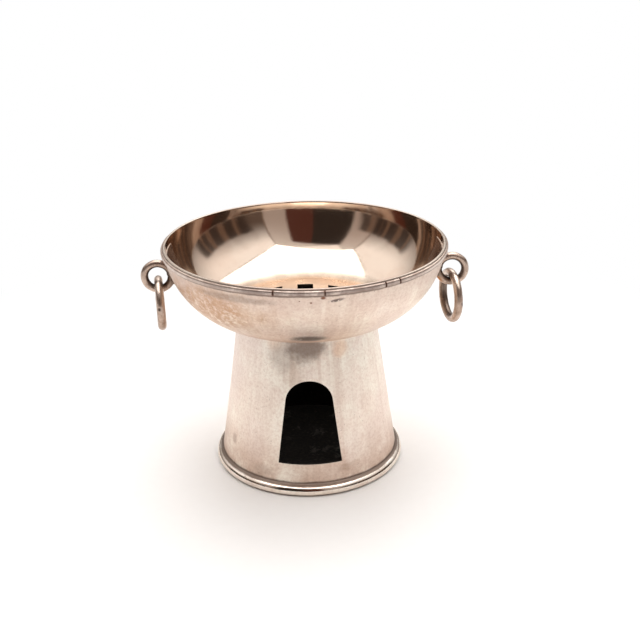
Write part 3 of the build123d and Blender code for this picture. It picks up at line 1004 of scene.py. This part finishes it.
def wire_loop(bm, centre, through, loop_radius, wire, steps, sides):
    """A full loop of round wire about a line."""
    across = Vector((0, 0, 1)).cross(through)
    made = bmesh.ops.create_circle(bm, cap_ends=False, radius=wire / 2, segments=sides)["verts"]
    place = Matrix((across, Vector(through), Vector((0, 0, 1)))).transposed().to_4x4()
    shift = Matrix.Translation(Vector(centre) + Vector(across) * loop_radius)
    bmesh.ops.transform(bm, matrix=shift @ place, verts=made)
    edges = list({edge for vertex in made for edge in vertex.link_edges})
    bmesh.ops.spin(
        bm, geom=made + edges, axis=through, cent=centre, angle=tau, steps=steps, use_merge=True
    )
    bmesh.ops.remove_doubles(bm, verts=bm.verts, dist=1e-6)


def dark_wire(name, centre_reach, centre_height):
    """Brown-toned wire with lighter patches and a file's marks; its callers add the painted shade inside the
    loop and the worn places.
    """
    finish, nodes, shader, place = new_finish(name)
    across, along, up = nodes.split(place)
    mottle = nodes.grain(place, 260, detail=5, roughness=0.62)
    patch = nodes.grain(place, 120, detail=3, roughness=0.55)
    drawn = nodes.grain(nodes.join(across, along, up * 0.12), 1400, detail=3)
    speck = nodes.grain(place, 1400, detail=2, roughness=0.7)
    out = abs(across) - centre_reach
    lift = up - centre_height
    from_middle = (out * out + lift * lift + along * along) ** 0.5
    colour = nodes.mix(nodes.rise(mottle, 0.36, 0.66), (0.58, 0.44, 0.355), (0.41, 0.29, 0.225))
    colour = nodes.mix(nodes.rise(patch, 0.52, 0.68) * 0.6, colour, (0.62, 0.485, 0.40))
    colour = nodes.mix(nodes.rise(drawn, 0.55, 0.68) * 0.4, colour, (0.22, 0.145, 0.105))
    return finish, nodes, shader, place, (mottle, drawn, speck, out, lift, from_middle), colour


def finish_wire(nodes, shader, marks, colour, shine=0.0):
    """Ends a wire's finish: specks, roughness and bump."""
    mottle, drawn, speck = marks[:3]
    colour = nodes.mix(nodes.rise(speck, 0.65, 0.71) * 0.6, colour, (0.14, 0.09, 0.065))
    shader.inputs["Metallic"].default_value = 1.0
    roughness = mottle * 0.22 + drawn * 0.12 + 0.20 - shine * 0.06
    surfaced(nodes, shader, colour, roughness, mottle * 2.0 + drawn * 0.6, 0.45, 0.00007)


def eye_finish():
    """The eyes' wire: near black inside the loop as painted shade, brown solder with painted shade at the
    strap, rubbed along the outside with a painted highlight.
    """
    finish, nodes, shader, place, marks, colour = dark_wire("toned eye wire", EYE_REACH, EYE_HEIGHT)
    mottle, _, _, out, lift, _ = marks
    in_plane = (out * out + lift * lift) ** 0.5
    # Partly wear, partly a painted highlight: lighter along the outside of the loop.
    rubbed = nodes.rise(in_plane + (mottle - 0.5) * 0.0008, EYE_LOOP + 0.0003, EYE_LOOP + 0.0012)
    colour = nodes.mix(rubbed * 0.30, colour, (0.70, 0.56, 0.475))
    # Painted shade: the inside of the loop, where the ring hangs, is near black.
    hole_shade = nodes.rise(in_plane + (mottle - 0.5) * 0.0006, EYE_LOOP - 0.0003, EYE_LOOP - 0.0010)
    colour = nodes.mix(hole_shade * 0.9, colour, (0.055, 0.045, 0.042))
    # Painted shade, with some solder: the side of the loop against the strap is dark.
    joint = nodes.rise(out + (mottle - 0.5) * 0.002, -0.0030, -0.0048)
    colour = nodes.mix(joint * 0.75, colour, (0.13, 0.09, 0.065))
    low_joint = (RUST_REACH, 0.0, EYE_HEIGHT - RUST_DROP)
    rust = nodes.add("ShaderNodeVectorMath", {"operation": "DISTANCE"}, {0: place, 1: low_joint}, "Value")
    rust = nodes.rise(rust + (mottle - 0.5) * 0.0012, 0.0022, 0.0008)
    colour = nodes.mix(rust * 0.85, colour, (0.62, 0.27, 0.09))
    finish_wire(nodes, shader, marks, colour, rubbed)
    return finish


eye_wire = eye_finish()
for side, outward, seed in (("left", -1, 7.0), ("right", 1, 9.0)):
    eye_bm = bmesh.new()
    eye_centre = Vector((outward * EYE_REACH, 0, EYE_HEIGHT))
    wire_loop(eye_bm, eye_centre, Vector((0, 1, 0)), EYE_LOOP, EYE_WIRE, 96, 24)
    for lift, size in SOLDER_BLOBS:
        reach = wall_radius(EYE_HEIGHT + lift, STRAP_THICKNESS + 0.0001)
        blob = bmesh.ops.create_icosphere(eye_bm, subdivisions=3, radius=size)["verts"]
        bmesh.ops.scale(eye_bm, vec=(0.75, 0.95, 1.0), verts=blob)
        bmesh.ops.translate(eye_bm, vec=(outward * reach, 0, EYE_HEIGHT + lift), verts=blob)
    eye = object_from(eye_bm, side + "_eye_loop")
    eye.data.materials.append(eye_wire)
    with_modifier(eye, "REMESH", mode="VOXEL", voxel_size=SOLDER_VOXEL, use_smooth_shade=True)
    eye_bm = bmesh.new()
    eye_bm.from_mesh(eye.data)
    for _ in range(4):
        bmesh.ops.smooth_vert(
            eye_bm, verts=eye_bm.verts, factor=0.5, use_axis_x=True, use_axis_y=True, use_axis_z=True
        )
    uneven(eye_bm, 0.00008, 480, seed)
    eye_bm.to_mesh(eye.data)
    eye_bm.free()
    hand_made(eye)
    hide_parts(side + "_eye")
    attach(eye, "burner")


# ---- ring handles ----
# A ring of thick wire hangs in each eye, closed with a soldered butt joint. The right ring's
# joint is pitted; both are rubbed bright at the top with a painted highlight, with painted shade inside.

RING_WIRE = 0.0030
RING_HALF = (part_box("right_ring")[1].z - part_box("right_ring")[0].z) / 2
RING_LOOP = RING_HALF - RING_WIRE / 2
RING_HEIGHT = (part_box("right_ring")[0].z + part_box("right_ring")[1].z) / 2
RING_TURNS = {"left": 9.0, "right": 10.5}


def ring_spot(side, outward, clock, out=0.0):
    """A point on the outside of a ring, by degrees down from its top on the near strand."""
    turn = radians(RING_TURNS[side])
    along = Vector((sin(turn), -cos(turn), 0))
    centre = Vector((outward * EYE_REACH, 0, RING_HEIGHT))
    face_out = Vector((cos(turn), sin(turn), 0)) * outward
    reach = RING_LOOP * (along * sin(radians(clock)) + Vector((0, 0, cos(radians(clock)))))
    skin = face_out * cos(radians(out)) + along * sin(radians(out))
    return centre + reach + skin * (RING_WIRE / 2)


JOINT_PITS = (
    (ring_spot("right", 1, 68, 30), 0.0007, 0.00035),
    (ring_spot("right", 1, 90, 40), 0.0009, 0.00040),
    (ring_spot("left", -1, 82, 60), 0.0008, 0.00018),
)


def dent(bm, place, size, depth):
    """Pushes the surface in round a place."""
    bm.normal_update()
    for vertex in bm.verts:
        reach = (vertex.co - place).length / size
        if reach < 1:
            vertex.co -= vertex.normal * depth * (1 - reach * reach) ** 2


def ring_finish():
    """The rings' wire: brown, rubbed at the top with a painted highlight, darker inside as painted shade, and
    dark at the joint and in its pits.
    """
    finish, nodes, shader, place, marks, colour = dark_wire("toned ring wire", EYE_REACH, RING_HEIGHT)
    mottle, _, _, _, lift, from_middle = marks
    # Painted shade: the inside of the ring is darker.
    hole_shade = nodes.rise(from_middle + (mottle - 0.5) * 0.0012, RING_LOOP - 0.0002, RING_LOOP - 0.0011)
    colour = nodes.mix(hole_shade * 0.75, colour, (0.10, 0.07, 0.055))
    # Partly wear, partly a painted highlight: lighter at the top of the ring.
    rubbed = nodes.rise(lift + (mottle - 0.5) * 0.003, 0.0035, 0.0068) * (1 - hole_shade)
    colour = nodes.mix(rubbed * 0.7, colour, (0.80, 0.66, 0.56))
    for spot, size, _ in JOINT_PITS:
        pit = nodes.add("ShaderNodeVectorMath", {"operation": "DISTANCE"}, {0: place, 1: spot}, "Value")
        pit = nodes.rise(pit + (mottle - 0.5) * size * 0.8, size, size * 0.35)
        colour = nodes.mix(pit * 0.85, colour, (0.05, 0.028, 0.02))
    finish_wire(nodes, shader, marks, colour, rubbed)
    return finish


ring_wire = ring_finish()
for side, outward, seed in (("left", -1, 12.0), ("right", 1, 15.0)):
    ring_bm = bmesh.new()
    turn = radians(RING_TURNS[side])
    through = Vector((cos(turn), sin(turn), 0))
    wire_loop(ring_bm, Vector((outward * EYE_REACH, 0, RING_HEIGHT)), through, RING_LOOP, RING_WIRE, 200, 48)
    uneven(ring_bm, 0.00006, 520, seed)
    for spot, size, depth in JOINT_PITS:
        dent(ring_bm, spot, size, depth)
    ring = object_from(ring_bm, side + "_ring_loop")
    ring.data.materials.append(ring_wire)
    hand_made(ring)
    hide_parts(side + "_ring")
    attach(ring, side + "_handle")
